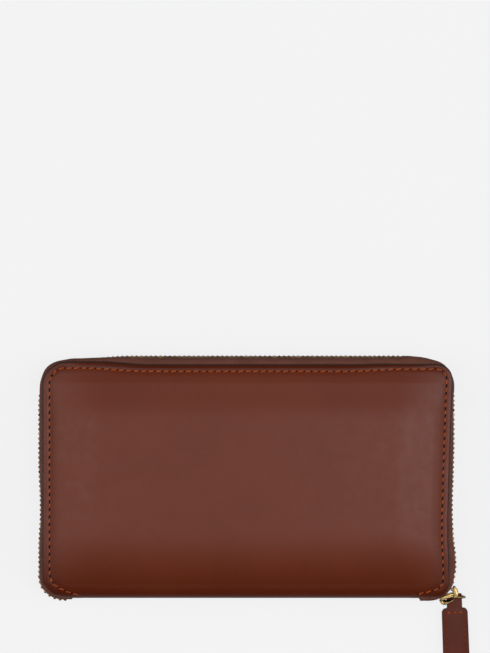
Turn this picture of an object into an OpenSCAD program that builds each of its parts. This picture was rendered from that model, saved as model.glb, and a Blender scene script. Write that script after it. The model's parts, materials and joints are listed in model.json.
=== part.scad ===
// Zip-around wallet lying closed on its back cover, with a folded spine and a central coin pocket.
// X runs along the spine, +Y from the spine to the zip side, +Z from the back cover to the front cover.
// The origin is on the outer face of the back cover, at its centre. All sizes are in millimetres.

/* [Covers] */
// Length of each cover along the spine
cover_w = 187; // [180:1:195]
// Height of each cover from the spine to the zip side
cover_h = 107; // [104:1:112]
// Thickness of the closed wallet
body_t = 25.5; // [25.5:0.5:28]
// Radius of the covers' corners
corner_r = 8.8; // [8:0.2:10]
// Radius of each fold between a cover and the spine
fold_r = 7; // [6:0.5:8]
// Half the length of the leather that wraps round the spine
spine_half = 79.7; // [78:0.1:80]

/* [Sheets] */
// Thickness of the outer leather
leather_t = 1.4; // [1.2:0.1:1.5]
// Thickness of the stiffening board
board_t = 0.6; // [0.5:0.1:0.6]
// Thickness of the lining
lining_t = 0.5; // [0.4:0.1:0.5]
// Thickness of each pocket sheet
pocket_t = 0.6; // [0.5:0.05:0.6]
// Drop from the mouth of one card pocket to the next
pocket_step = 12; // [10:1:13]

/* [Main zip] */
// How far the zip's centre line stands out past the covers at the two sides
zip_out_side = 1; // [0.8:0.1:1.5]
// How far the zip's centre line stands out past the covers at the top
zip_out_top = 3.1; // [2.5:0.1:3.5]
// Distance between neighbouring teeth of one row
tooth_pitch = 2.2; // [2.1:0.05:2.4]
// Width of one tooth along the row
tooth_w = 0.9; // [0.8:0.05:0.9]
// Thickness of the woven tape
tape_t = 0.6; // [0.5:0.05:0.6]
// Where the slider rests on the lower right corner, as the angle of its outward face
slider_angle = -47; // [-50:1:-45]

/* [Pull] */
// Length of the leather pull tab past its ring
tab_length = 52; // [40:1:60]
// Width of the stitched part of the pull tab
tab_w = 11.5; // [10:0.5:13]
// Width of the tab's neck inside the ring
neck_w = 7; // [6:0.1:7]
// Diameter of the ring's wire
ring_wire = 1; // [0.8:0.1:1]

/* [Coin pocket] */
// Free thickness inside the coin pocket
coin_gap = 4.5; // [4.5:0.1:5]
// Height of the coin pocket's walls above the middle of the covers
coin_top = 34; // [30:1:35]

/* [Hidden] */
$fn = 48;

leather_colour = [0.42, 0.22, 0.17];
lining_colour = [0.30, 0.20, 0.15];
board_colour = [0.62, 0.52, 0.40];
tape_colour = [0.36, 0.25, 0.20];
brass_colour = [0.72, 0.60, 0.33];
tooth_colour = [0.40, 0.30, 0.17];

// Planes that the parts are built from
y_spine = -cover_h / 2;
y_zip_side = cover_h / 2;
mid_z = body_t / 2;
part_gap = 0.3;
fold_edge = y_spine + fold_r + part_gap;
spine_slot = spine_half + 0.6;
big = 400;

// Card panels
pocket_half = cover_w / 2 - 6;
pocket_top = 36;
panel_top = 46;
board_inset = 7.6;
flange_inset = 7;
lining_inset = 1.2;

// Centre line of the main zip
zip_x = cover_w / 2 + zip_out_side;
zip_y_top = y_zip_side + zip_out_top;
zip_y_low = y_spine + 0.1;
zip_r_top = 15;
zip_r_low = 10;
zip_split = -37;
split_gap = 1.3;
tape_edge = 1.05;
stop_w = 1.6;

// Lengths along the zip's centre line, counted from the middle of the top side
s_top = zip_x - zip_r_top;
s_turn = s_top + PI / 2 * zip_r_top;
s_side = s_turn + (zip_y_top - zip_r_top) - (zip_y_low + zip_r_low);
s_corner = s_side + PI / 2 * zip_r_low;
s_split = s_turn + (zip_y_top - zip_r_top) - zip_split;
s_end = s_corner + 4;
s_stop = s_end - 0.4 - stop_w / 2;
s_last_left = s_stop - stop_w / 2 - tooth_w / 2 - 0.15;

// Teeth of the main zip: half thickness, reach past the middle plane, start of the slot, end of the legs
tooth_half = 1.1;
tooth_reach = 0.45;
tooth_slot = 1;
tooth_leg = 2.4;
slot_half = tape_t / 2 + 0.05;

// Slider of the main zip, in its own frame: +X outward, +Y along the closed teeth, Z across
slider_half_l = 5.2;
slider_half_w = 3.9;
plate_t = 0.7;
link_pin = [2.55, 2.9];
corner_centre = [zip_x - zip_r_low, zip_y_low + zip_r_low];

// Pull: the link hangs from its pin towards -Y, and the ring's upper bar runs through its eye
link_at = corner_centre + (zip_r_low + link_pin[0]) * [cos(slider_angle), sin(slider_angle)]
    + link_pin[1] * [-sin(slider_angle), cos(slider_angle)];
ring_y = y_spine - 0.9;
ring_depth = 6.35;
ring_length = 10.6;
ring_x = 96.3;
ring_corner = 0.9;
neck_x = 95.9;
neck_length = 4.5;
tab_t = 2.6;
tab_pivot_z = mid_z - ring_depth;
tab_slope = asin((tab_pivot_z - tab_t / 2 - 0.05) / tab_length);

// Coin pocket
coin_half = 80;
coin_y_low = y_spine + leather_t + lining_t;
coin_y_zip = coin_top + 5.6;
coin_tape_t = 0.4;
coin_zip_half = 72;
coin_pitch = 2;
coin_slider_x = 64;
coin_pin = [2.1, 0];

// ---- outlines ----

// Rectangle with one radius for the upper corners and one for the lower corners
module rounded_box_2d(low, high, r_low, r_top) {
    translate([low[0], low[1] + r_low]) square([high[0] - low[0], high[1] - low[1] - r_low - r_top]);
    translate([low[0] + r_low, low[1]]) square([high[0] - low[0] - 2 * r_low, r_low]);
    translate([low[0] + r_top, high[1] - r_top]) square([high[0] - low[0] - 2 * r_top, r_top]);
    for (side = [0, 1]) {
        translate([side ? high[0] - r_low : low[0] + r_low, low[1] + r_low]) circle(r_low);
        translate([side ? high[0] - r_top : low[0] + r_top, high[1] - r_top]) circle(r_top);
    }
}

// Outline of a cover seen from the front, drawn in by inset
module cover_outline(inset = 0) {
    rounded_box_2d(
        [-cover_w / 2 + inset, y_spine + inset], [cover_w / 2 - inset, y_zip_side - inset],
        corner_r - inset, corner_r - inset
    );
}

// A cover without the strip that folds round the spine
module cover_flat(inset = 0) {
    difference() {
        cover_outline(inset);
        translate([-spine_slot, y_spine - big]) square([2 * spine_slot, fold_r + part_gap + big]);
    }
}

// Area inside the zip's centre line, grown by grow
module zip_outline(grow = 0) {
    rounded_box_2d(
        [-zip_x - grow, zip_y_low - grow], [zip_x + grow, zip_y_top + grow],
        zip_r_low + grow, zip_r_top + grow
    );
}

module sheet(z, t) {
    translate([0, 0, z]) linear_extrude(t) children();
}

// Mirrors its children to the front half of the wallet
module on_front() {
    translate([0, 0, body_t]) mirror([0, 0, 1]) children();
}

// Extrudes a profile drawn in Y and Z along X
module along_x(x0, x1) {
    translate([x0, 0, 0]) rotate([90, 0, 90]) linear_extrude(x1 - x0) children();
}

// ---- covers ----

module cover_leather() {
    color(leather_colour) sheet(0, leather_t) cover_flat();
}

module cover_board() {
    color(board_colour) sheet(leather_t, board_t) translate([-cover_w / 2 + board_inset, fold_edge])
        square([cover_w - 2 * board_inset, y_zip_side - board_inset - fold_edge]);
}

module cover_lining() {
    color(lining_colour) sheet(leather_t + board_t, lining_t) cover_flat(lining_inset);
}

module card_panel() {
    color(leather_colour) sheet(leather_t + board_t + lining_t, pocket_t)
        translate([-pocket_half, fold_edge]) square([2 * pocket_half, panel_top - fold_edge]);
}

// Card pocket number n, where 1 lies on the panel and has the highest mouth
module card_pocket(n) {
    mouth = pocket_top - (n - 1) * pocket_step;
    color(leather_colour) sheet(leather_t + board_t + lining_t + n * pocket_t, pocket_t)
        translate([-pocket_half, fold_edge]) square([2 * pocket_half, mouth - fold_edge]);
}

// ---- main zip ----

// Point on the zip's centre line at length s from the middle of the top, and its outward angle
function zip_right(s) =
    s <= s_top ? [s, zip_y_top, 90]
    : s <= s_turn ? let (t = 90 - (s - s_top) / zip_r_top * 180 / PI)
        [zip_x - zip_r_top + zip_r_top * cos(t), zip_y_top - zip_r_top + zip_r_top * sin(t), t]
    : s <= s_side ? [zip_x, zip_y_top - zip_r_top - (s - s_turn), 0]
    : s <= s_corner ? let (t = -(s - s_side) / zip_r_low * 180 / PI)
        [corner_centre[0] + zip_r_low * cos(t), corner_centre[1] + zip_r_low * sin(t), t]
    : [corner_centre[0] - (s - s_corner), zip_y_low, -90];
function zip_at(s) = let (p = zip_right(abs(s))) s < 0 ? [-p[0], p[1], 180 - p[2]] : p;

module at_zip(s) {
    p = zip_at(s);
    translate([p[0], p[1], mid_z]) rotate([0, 0, p[2]]) children();
}

// One tooth gripping a tape that lies above the middle plane: its head crosses the plane
module tooth(half, reach, slot_z, leg_z, slot, w) {
    translate([0, w / 2, 0]) rotate([90, 0, 0]) linear_extrude(w) polygon([
        [-half, -reach], [half, -reach], [half, leg_z], [slot, leg_z],
        [slot, slot_z], [-slot, slot_z], [-slot, leg_z], [-half, leg_z]
    ]);
}

module zip_tooth(s, front) {
    at_zip(s) mirror([0, 0, front ? 0 : 1])
        tooth(tooth_half, tooth_reach, tooth_slot, tooth_leg, slot_half, tooth_w);
}

// The teeth of one row between the lengths s0 and s1: the two rows are half a pitch apart
module teeth_row(s0, s1, front) {
    shift = front ? 0 : 0.5;
    color(tooth_colour)
        for (k = [ceil(s0 / tooth_pitch - shift) : floor(s1 / tooth_pitch - shift)])
            zip_tooth((k + shift) * tooth_pitch, front);
}

// Upright wall of tape on the zip's centre line, from z0 to z1
module tape_wall(z0, z1) {
    sheet(z0, z1 - z0) difference() {
        zip_outline(tape_t / 2);
        zip_outline(-tape_t / 2);
    }
}

// Part of the tape that is sewn in under a cover's edge
module tape_flange() {
    sheet(leather_t, tape_t) difference() {
        zip_outline(tape_t / 2);
        cover_outline(flange_inset);
    }
}

// Everything but the strip in front of the spine
module past_spine() {
    translate([-big, fold_edge, -big]) cube(2 * big);
    for (side = [-1, 1])
        translate([side > 0 ? spine_slot : -spine_slot - big, -big, -big]) cube([big, 2 * big, 2 * big]);
}

// Round cut about the spine's middle, where the moving tape leaves the fixed zip end.
// The front cover starts to open by turning about that line, so the two ends never meet.
module split_round(grow) {
    along_x(-big, big) translate([y_spine, mid_z]) circle(zip_split - y_spine + grow);
}

module back_tape() {
    color(tape_colour) intersection() {
        union() {
            tape_wall(leather_t, mid_z - tape_edge);
            tape_flange();
        }
        past_spine();
    }
}

module front_tape() {
    color(tape_colour) difference() {
        union() {
            tape_wall(mid_z + tape_edge, body_t - leather_t);
            on_front() tape_flange();
        }
        split_round(split_gap);
    }
}

// Fixed end of the front tape, on the side given by 1 for right and -1 for left
module end_tape(side) {
    wall_top = body_t - leather_t - tape_t - 0.4;
    color(tape_colour) intersection() {
        tape_wall(mid_z + tape_edge, wall_top);
        translate([side > 0 ? spine_slot : -spine_slot - big, y_spine - 5, 0]) cube(big);
        split_round(0);
    }
}

module end_teeth_right() {
    s_last = s_side + (-slider_angle + 3) * PI / 180 * zip_r_low;
    teeth_row(s_split + 0.3, s_last, true);
    teeth_row(s_split + 0.3, s_last, false);
}

// Small metal block that grips one tape edge
module stop_block(w) {
    tooth(tooth_half, -tape_edge + 0.25, tooth_slot + 0.05, tooth_leg, slot_half, w);
}

module top_stops() {
    stop_s = s_side + (-slider_angle + 33) * PI / 180 * zip_r_low;
    color(brass_colour) at_zip(stop_s) for (flip = [0, 1]) mirror([0, 0, flip]) stop_block(1.4);
}

module bottom_stop() {
    color(brass_colour) at_zip(-s_stop) for (flip = [0, 1]) mirror([0, 0, flip])
        tooth(tooth_half, 0, tooth_slot, tooth_leg, slot_half, stop_w);
}

// ---- sliders and pulls ----

// Slider body in its own frame. face_out and face_in are the inner faces of its two plates.
module slider_body(half_l, half_w, in_half_l, in_half_w, face_out, face_in, crown) {
    top = face_out + plate_t;
    // outer and inner plates
    translate([face_out, -half_l, -half_w]) cube([plate_t, 2 * half_l, 2 * half_w]);
    translate([face_in - plate_t, -in_half_l, -in_half_w]) cube([plate_t, 2 * in_half_l, 2 * in_half_w]);
    // wedge that parts the two rows
    translate([face_in - plate_t / 2, 1.3 - in_half_l, 0]) rotate([0, 90, 0])
        linear_extrude(face_out - face_in + plate_t)
            polygon([[0, -1.2], [0.8, 0], [0, 1.3], [-0.8, 0]]);
    // crown that holds the pull's pin in a tunnel
    for (y = [crown[0], crown[1] - 0.9])
        translate([face_out, y, -1.1]) cube([plate_t + crown[2], 0.9, 2.2]);
    translate([top + crown[2] - 0.65, crown[0], -1.1]) cube([0.65, crown[1] - crown[0], 2.2]);
}

// Side rails of the outer plate, which hold the teeth in
module slider_rails(half_l, half_w, face_out, face_rail, rail_in) {
    for (side = [-1, 1])
        translate([face_rail, -half_l, side > 0 ? rail_in : -half_w])
            cube([face_out - face_rail + 0.1, 2 * half_l, half_w - rail_in]);
}

module zip_slider() {
    color(brass_colour) translate([corner_centre[0], corner_centre[1], mid_z])
        rotate([0, 0, slider_angle]) translate([zip_r_low, 0, 0]) {
            slider_body(slider_half_l, slider_half_w, 4, slider_half_w, 1.25, -2.15, [0.9, 4.9, 1.85]);
            slider_rails(slider_half_l, slider_half_w, 1.25, 0.5, 2.7);
        }
}

// Link from the slider's crown to the ring, hanging towards -Y
module pull_link() {
    eye = link_at[1] - ring_y;
    plate = [2.2, 2.4, 3.9];
    color(brass_colour) translate([link_at[0], link_at[1], mid_z]) difference() {
        union() {
            translate([0, 0, -1.95]) cylinder(r = 0.4, h = 3.9);
            for (side = [-1, 1]) {
                translate([0, 0, side > 0 ? 1.25 : -1.95]) cylinder(r = 0.5, h = 0.7);
                translate([-0.45, -3.4, side > 0 ? 1.25 : -1.95]) cube([0.9, 3.4, 0.7]);
            }
            translate([-plate[0] / 2, -eye - plate[1] / 2, -plate[2] / 2]) cube(plate);
        }
        translate([-big / 2, -eye, 0]) rotate([0, 90, 0]) cylinder(r = ring_wire / 2 + 0.15, h = big);
    }
}

// Rectangular ring of round wire, hanging in an upright plane from its upper bar
module pull_ring() {
    r = ring_wire / 2;
    x = (ring_length - ring_wire) / 2;
    bar = 2 * (x - ring_corner);
    side = ring_depth - 2 * ring_corner;
    color(brass_colour) translate([ring_x, ring_y, mid_z]) {
        for (z = [0, -ring_depth]) translate([-bar / 2, 0, z]) rotate([0, 90, 0]) cylinder(r = r, h = bar);
        for (sx = [-x, x]) translate([sx, 0, -ring_depth + ring_corner]) cylinder(r = r, h = side);
        for (sx = [0, 1], sz = [0, 1]) mirror([sx, 0, 0])
            translate([x - ring_corner, 0, sz ? -ring_corner : -ring_depth + ring_corner])
                mirror([0, 0, 1 - sz]) rotate([90, 0, 0]) rotate_extrude(angle = 90)
                    translate([ring_corner, 0]) circle(r);
    }
}

// Leather strip folded round the ring's lower bar, its far end resting on the table
module pull_tab() {
    bore = ring_wire / 2 + 0.15;
    round_r = 2;
    color(leather_colour) translate([neck_x, ring_y, tab_pivot_z]) rotate([tab_slope, 0, 0]) {
        difference() {
            union() {
                translate([-neck_w / 2, 0, 0]) rotate([0, 90, 0]) cylinder(r = tab_t / 2 + 0.4, h = neck_w);
                translate([-neck_w / 2, -neck_length, -tab_t / 2]) cube([neck_w, neck_length, tab_t]);
            }
            translate([-big / 2, 0, 0]) rotate([0, 90, 0]) cylinder(r = bore, h = big);
        }
        translate([0, 0, -tab_t / 2]) linear_extrude(tab_t)
            rounded_box_2d([-tab_w / 2, -tab_length], [tab_w / 2, -neck_length + 0.5], round_r, 1);
    }
}

// ---- spine ----

// Profile of the folded leather in Y and Z, drawn in by inset
module fold_profile(inset) {
    r = fold_r - inset;
    low = y_spine + inset;
    translate([low, fold_r]) square([r + part_gap, body_t - 2 * fold_r]);
    translate([y_spine + fold_r, inset]) square([part_gap, body_t - 2 * inset]);
    translate([y_spine + fold_r, fold_r]) circle(r);
    translate([y_spine + fold_r, body_t - fold_r]) circle(r);
}

module spine_cover() {
    color(leather_colour) along_x(-spine_half, spine_half) difference() {
        fold_profile(0);
        fold_profile(leather_t);
        translate([y_spine + fold_r, -big / 2]) square(big);
    }
}

module spine_board() {
    color(board_colour) translate([-spine_half, y_spine + leather_t, fold_r])
        cube([2 * spine_half, 0.3, body_t - 2 * fold_r]);
}

module spine_lining() {
    color(lining_colour) translate([-spine_half, y_spine + leather_t + 0.3, fold_r])
        cube([2 * spine_half, lining_t - 0.3, body_t - 2 * fold_r]);
}

// ---- coin pocket ----

module coin_wall(front) {
    z = front ? mid_z + coin_gap / 2 : mid_z - coin_gap / 2 - pocket_t;
    color(lining_colour) translate([-coin_half, coin_y_low, z])
        cube([2 * coin_half, coin_top - coin_y_low, pocket_t]);
}

module coin_side(side) {
    w = 1.2;
    x = side > 0 ? coin_half - w : -coin_half;
    color(lining_colour) translate([x, coin_y_low + 1.2, mid_z - coin_gap / 2])
        cube([w, coin_top - coin_y_low - 1.2, coin_gap]);
}

module coin_floor() {
    color(lining_colour) translate([-coin_half, coin_y_low, mid_z - coin_gap / 2])
        cube([2 * coin_half, 1.2, coin_gap]);
}

// Tape sewn outside a pocket wall and turned in over the pocket's mouth
module coin_tape() {
    wall = coin_gap / 2 + pocket_t;
    half_t = coin_tape_t / 2;
    y_top = coin_y_zip + half_t;
    color(tape_colour) translate([0, 0, mid_z]) along_x(-coin_half + 2, coin_half - 2) polygon([
        [coin_top - 7, wall], [coin_top - 7, wall + coin_tape_t], [coin_top + 1, wall + coin_tape_t],
        [coin_top + 3, wall + 0.75], [y_top, wall + 0.75], [y_top, 0.85], [y_top - coin_tape_t, 0.85],
        [y_top - coin_tape_t, wall + 0.35], [coin_top + 3.2, wall + 0.35], [coin_top + 1.2, wall]
    ]);
}

module coin_teeth(front) {
    shift = front ? 0 : 0.5;
    count = floor(coin_zip_half / coin_pitch);
    color(tooth_colour) for (k = [-count : count - 1 - 4])
        translate([(k + shift) * coin_pitch, coin_y_zip, mid_z]) rotate([0, 0, 90])
            mirror([0, 0, front ? 0 : 1]) tooth(0.75, 0.35, 0.8, 1.7, coin_tape_t / 2 + 0.05, 0.85);
}

module coin_stops() {
    color(brass_colour) for (side = [-1, 1])
        translate([side * (coin_zip_half + 2.5), coin_y_zip, mid_z]) rotate([0, 0, 90])
            for (flip = [0, 1]) mirror([0, 0, flip]) tooth(0.75, 0, 0.8, 1.7, coin_tape_t / 2 + 0.05, 1.4);
}

module at_coin_slider() {
    translate([coin_slider_x, coin_y_zip, mid_z]) rotate([0, 0, 90]) children();
}

module coin_slider() {
    color(brass_colour) at_coin_slider()
        slider_body(4, 3.3, 3.8, 2.9, 0.95, -0.95, [-2, 2, 1.55]);
}

// Pull lying along the closed teeth
module coin_pull() {
    color(brass_colour) at_coin_slider() translate([coin_pin[0], coin_pin[1], 0]) {
        translate([0, 0, -1.9]) cylinder(r = 0.38, h = 3.8);
        for (side = [-1, 1]) translate([-0.38, 0, side > 0 ? 1.2 : -1.9]) cube([0.76, 3, 0.7]);
        translate([-0.38, 2.5, 0]) rotate([0, 90, 0]) linear_extrude(0.76)
            rounded_box_2d([-2.2, 0], [2.2, 8], 1, 1.8);
    }
}

// ---- nodes ----

cover_leather();  // back_cover
cover_board();  // back_board
cover_lining();  // back_lining
back_tape();  // back_zip_tape
teeth_row(-s_last_left, s_split, false);  // back_teeth
card_panel();  // back_card_panel
card_pocket(1);  // back_card_pocket_1
card_pocket(2);  // back_card_pocket_2
card_pocket(3);  // back_card_pocket_3
card_pocket(4);  // back_card_pocket_4
end_tape(-1);  // zip_end_tape_left
end_tape(1);  // zip_end_tape_right
teeth_row(-s_last_left, -s_split - 0.3, true);  // zip_end_teeth_left
end_teeth_right();  // zip_end_teeth_right
top_stops();  // zip_top_stops
bottom_stop();  // zip_bottom_stop
spine_cover();
spine_board();
spine_lining();
coin_wall(false);  // coin_wall_back
coin_wall(true);  // coin_wall_front
coin_side(-1);  // coin_side_left
coin_side(1);  // coin_side_right
coin_floor();
translate([0, 0, body_t]) mirror([0, 0, 1]) coin_tape();  // coin_tape_back
coin_tape();  // coin_tape_front
coin_teeth(false);  // coin_teeth_back
coin_teeth(true);  // coin_teeth_front
coin_stops();
coin_slider();
coin_pull();
on_front() cover_leather();  // front_cover
on_front() cover_board();  // front_board
on_front() cover_lining();  // front_lining
front_tape();  // front_zip_tape
teeth_row(-s_split, s_split, true);  // front_teeth
on_front() card_panel();  // front_card_panel
on_front() card_pocket(1);  // front_card_pocket_1
on_front() card_pocket(2);  // front_card_pocket_2
on_front() card_pocket(3);  // front_card_pocket_3
on_front() card_pocket(4);  // front_card_pocket_4
zip_slider();
pull_link();
pull_ring();
pull_tab();
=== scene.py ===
import json
import math
import random

import bmesh
import bpy
import numpy as np
from mathutils import Matrix, Vector


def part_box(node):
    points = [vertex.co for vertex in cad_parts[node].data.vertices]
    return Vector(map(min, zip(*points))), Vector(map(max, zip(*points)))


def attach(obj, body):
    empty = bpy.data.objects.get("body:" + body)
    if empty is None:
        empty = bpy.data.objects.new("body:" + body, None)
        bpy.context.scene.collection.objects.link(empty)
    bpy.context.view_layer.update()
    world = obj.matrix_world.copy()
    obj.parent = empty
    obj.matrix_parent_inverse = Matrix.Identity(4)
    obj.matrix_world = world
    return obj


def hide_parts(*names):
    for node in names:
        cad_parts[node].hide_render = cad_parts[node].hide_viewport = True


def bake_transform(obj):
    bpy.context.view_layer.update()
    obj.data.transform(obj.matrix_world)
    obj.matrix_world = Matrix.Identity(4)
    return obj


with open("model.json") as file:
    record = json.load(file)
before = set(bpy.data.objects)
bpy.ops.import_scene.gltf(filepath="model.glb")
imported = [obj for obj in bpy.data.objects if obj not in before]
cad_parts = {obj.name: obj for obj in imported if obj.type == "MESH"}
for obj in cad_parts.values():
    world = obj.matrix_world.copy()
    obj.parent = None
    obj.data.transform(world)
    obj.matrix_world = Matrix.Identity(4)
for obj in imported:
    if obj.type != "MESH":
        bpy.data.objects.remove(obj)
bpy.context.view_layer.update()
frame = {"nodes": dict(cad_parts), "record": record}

MM = 0.001


# ---- sizes from the frame, in millimetres ----

def box(node):
    low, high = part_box(node)
    return [v / MM for v in low], [v / MM for v in high]


cover_low, cover_high = box("front_cover")
teeth_high = box("back_teeth")[1]
pocket_high = box("front_card_panel")[1]
joints = {j["name"]: j for j in frame["record"]["behaviour"]["joints"]}

HALF_W = cover_high[0]
Y_TOP = cover_high[1]
Y_SPINE = cover_low[1]
BODY = cover_high[2]
MID = BODY / 2
LEATHER = cover_high[2] - cover_low[2]
SPINE_HALF = box("spine_cover")[1][0]
CORNER = [v / MM for v in joints["slider_travel"]["pos_m"][:2]]
CORNER_R = 8.8
FOLD_R = 7.0
TOOTH_HALF = 1.1
ZIP_X = teeth_high[0] - TOOTH_HALF
ZIP_TOP = teeth_high[1] - TOOTH_HALF
ZIP_LOW = Y_SPINE + 0.1
R_TOP = 15.0
R_LOW = 10.0
SPLIT_Y = -37.0
SPLIT_R = SPLIT_Y - Y_SPINE
TAPE_EDGE = 1.05
PITCH = 2.2

# lengths of a cover's leather along its section: flat part, end of the fold, middle of the spine
S_FLAT = Y_TOP - (Y_SPINE + FOLD_R)
S_FOLD = S_FLAT + math.pi / 2 * FOLD_R
S_MID = S_FOLD + MID - FOLD_R


def smooth(x, a, b):
    t = min(1, max(0, (x - a) / (b - a)))
    return t * t * (3 - 2 * t)


def window(x, a, b, c, d):
    """Rises from 0 to 1 between a and b and falls back between c and d."""
    return smooth(x, a, b) * (1 - smooth(x, c, d))


# ---- materials ----

class Nodes:
    """A few shorthands for the nodes of a material or the world."""

    def __init__(self, owner):
        owner.use_nodes = True
        self.owner = owner
        self.tree = owner.node_tree
        self.tree.nodes.clear()
        self.coord = self.new("ShaderNodeTexCoord")

    def new(self, kind, **settings):
        node = self.tree.nodes.new(kind)
        for key, value in settings.items():
            setattr(node, key, value)
        return node

    def link(self, a, b):
        self.tree.links.new(a, b)

    def put(self, socket, value):
        if isinstance(value, bpy.types.NodeSocket):
            self.link(value, socket)
        else:
            socket.default_value = value

    def scaled(self, scale, uv=False, turn=0.0):
        """Coordinates in which one unit is 1/scale millimetres."""
        m = self.new("ShaderNodeMapping")
        self.link(self.coord.outputs["UV" if uv else "Object"], m.inputs["Vector"])
        s = [k if uv else k / MM for k in ([scale] * 3 if isinstance(scale, (int, float)) else scale)]
        m.inputs["Scale"].default_value = s
        m.inputs["Rotation"].default_value = (0, 0, turn)
        return m.outputs[0]

    def noise(self, scale, detail=3.0, rough=0.5, uv=False, distortion=0.0):
        n = self.new("ShaderNodeTexNoise")
        self.link(self.scaled(scale, uv), n.inputs["Vector"])
        n.inputs["Scale"].default_value = 1
        n.inputs["Detail"].default_value = detail
        n.inputs["Roughness"].default_value = rough
        n.inputs["Distortion"].default_value = distortion
        return n.outputs["Fac"]

    def cells(self, scale):
        v = self.new("ShaderNodeTexVoronoi", feature="SMOOTH_F1")
        self.link(self.scaled(scale), v.inputs["Vector"])
        v.inputs["Scale"].default_value = 1
        return v.outputs["Distance"]

    def wave(self, scale, turn, distortion=0.0):
        w = self.new("ShaderNodeTexWave", bands_direction="X")
        self.link(self.scaled(scale, True, turn), w.inputs["Vector"])
        w.inputs["Scale"].default_value = math.pi / 10
        w.inputs["Distortion"].default_value = distortion
        return w.outputs["Fac"]

    def math(self, op, a, b=0.0, c=0.0):
        n = self.new("ShaderNodeMath", operation=op)
        for socket, value in zip(n.inputs, (a, b, c)):
            self.put(socket, value)
        return n.outputs[0]

    def spread(self, value, low, high, a=0.0, b=1.0, curve="LINEAR"):
        """Maps a to b onto low to high."""
        n = self.new("ShaderNodeMapRange", clamp=True, interpolation_type=curve)
        for socket, v in zip(n.inputs, (value, a, b, low, high)):
            self.put(socket, v)
        return n.outputs[0]

    def mix(self, fac, a, b):
        n = self.new("ShaderNodeMix", data_type="RGBA", blend_type="MIX")
        self.put(n.inputs[0], fac)
        for socket, value in ((n.inputs[6], a), (n.inputs[7], b)):
            self.put(socket, value if isinstance(value, bpy.types.NodeSocket) else (*value, 1))
        return n.outputs[2]

    def bump(self, height, strength, distance, below=None):
        n = self.new("ShaderNodeBump")
        self.put(n.inputs["Height"], height)
        n.inputs["Strength"].default_value = strength
        n.inputs["Distance"].default_value = distance * MM
        if below is not None:
            self.link(below, n.inputs["Normal"])
        return n.outputs[0]

    def finish(self, colour, rough, normal, **constants):
        bsdf = self.new("ShaderNodeBsdfPrincipled")
        self.link(bsdf.outputs[0], self.new("ShaderNodeOutputMaterial").inputs["Surface"])
        self.put(bsdf.inputs["Base Color"], colour)
        self.put(bsdf.inputs["Roughness"], rough)
        self.link(normal, bsdf.inputs["Normal"])
        for key, value in constants.items():
            bsdf.inputs[key.replace("_", " ")].default_value = value
        return self.owner


def new_material(name):
    return Nodes(bpy.data.materials.new(name))


def leather(name, light, dark, rough, grain=0.16, with_painted_shade=False):
    n = new_material(name)
    broad = n.noise(0.035, 3)
    mottle = n.noise(0.5, 4, 0.6)
    colour = n.mix(n.spread(broad, 0, 1, 0.3, 0.7), dark, light)
    colour = n.mix(n.spread(mottle, 0.0, 0.08, 0.4, 0.8), colour, [c * 0.62 for c in dark])
    # Painted shade: a per-point attribute of the mesh darkens the colour along the cover's sides, top rim and
    # fold.
    if with_painted_shade:
        shade = n.new("ShaderNodeAttribute", attribute_name="painted_shade").outputs["Fac"]
        colour = n.mix(shade, (0, 0, 0), colour)
    pores = n.cells((1.9, 1.9, 1.9))
    fine = n.noise(5.0, 3)
    creases = n.noise((0.35, 0.9, 0.9), 5, 0.65, distortion=0.6)
    first = n.bump(pores, grain, 0.09)
    second = n.bump(fine, grain * 0.8, 0.05, first)
    third = n.bump(creases, 0.06, 0.2, second)
    r = n.spread(n.noise(0.22, 3), rough - 0.03, rough + 0.04, 0.3, 0.7)
    return n.finish(colour, r, third, Specular_IOR_Level=0.085)


def edge_paint(name):
    n = new_material(name)
    colour = n.mix(n.noise(1.6, 3), (0.006, 0.0030, 0.0026), (0.016, 0.0075, 0.0062))
    rough = n.spread(n.noise(0.8), 0.45, 0.65)
    return n.finish(colour, rough, n.bump(n.noise(2.5, 3), 0.2, 0.1), Specular_IOR_Level=0.12)


def thread(name, light, dark):
    n = new_material(name)
    ply = n.wave(1 / 0.55, math.radians(35))
    colour = n.mix(n.spread(ply, 0, 1, 0.1, 0.9), dark, light)
    colour = n.mix(n.spread(n.noise(0.35, 2), 0.0, 0.45, 0.4, 0.7), colour, dark)
    return n.finish(colour, 0.62, n.bump(ply, 0.55, 0.12), Specular_IOR_Level=0.08)


# Nearly black material for the sheets that stand in for the stitch holes: painted shade.
def stitch_hole_shade(name):
    n = new_material(name)
    colour = n.mix(n.noise(1.5, 2), (0.0035, 0.0010, 0.0006), (0.011, 0.0028, 0.0013))
    return n.finish(colour, 0.8, n.bump(n.noise(3.0), 0.2, 0.1), Specular_IOR_Level=0.04)


def woven(name, light, dark, pitch, turn, strength=0.6, sheen=0.05):
    n = new_material(name)
    warp = n.wave(1 / pitch, turn, 0.25)
    weft = n.wave(1 / (pitch * 1.6), turn + math.pi / 2, 0.3)
    fibres = n.noise((6.0, 1.5, 3.0), 3, uv=True)
    cloth = n.math("MULTIPLY_ADD", weft, 0.35, n.math("MULTIPLY", warp, 0.65))
    colour = n.mix(n.spread(cloth, 0, 1, 0.15, 0.85), dark, light)
    colour = n.mix(n.spread(n.noise(0.12, 3), 0.0, 0.3, 0.35, 0.7), colour, dark)
    height = n.math("MULTIPLY_ADD", fibres, 0.3, cloth)
    return n.finish(colour, 0.8, n.bump(height, strength, pitch * 0.28), Sheen_Weight=sheen,
                    Specular_IOR_Level=0.05)


def metal(name, light, dark, rough, wear, scale):
    n = new_material(name)
    cloud = n.noise(scale, 4, 0.6)
    scuff = n.noise((scale * 7, scale * 2, scale * 4), 4, 0.7)
    colour = n.mix(n.spread(cloud, 0, 1, wear[0], wear[1]), dark, light)
    r = n.spread(scuff, rough - 0.06, rough + 0.14, 0.3, 0.7)
    return n.finish(colour, r, n.bump(scuff, 0.12, 0.05), Metallic=1.0)


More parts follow.
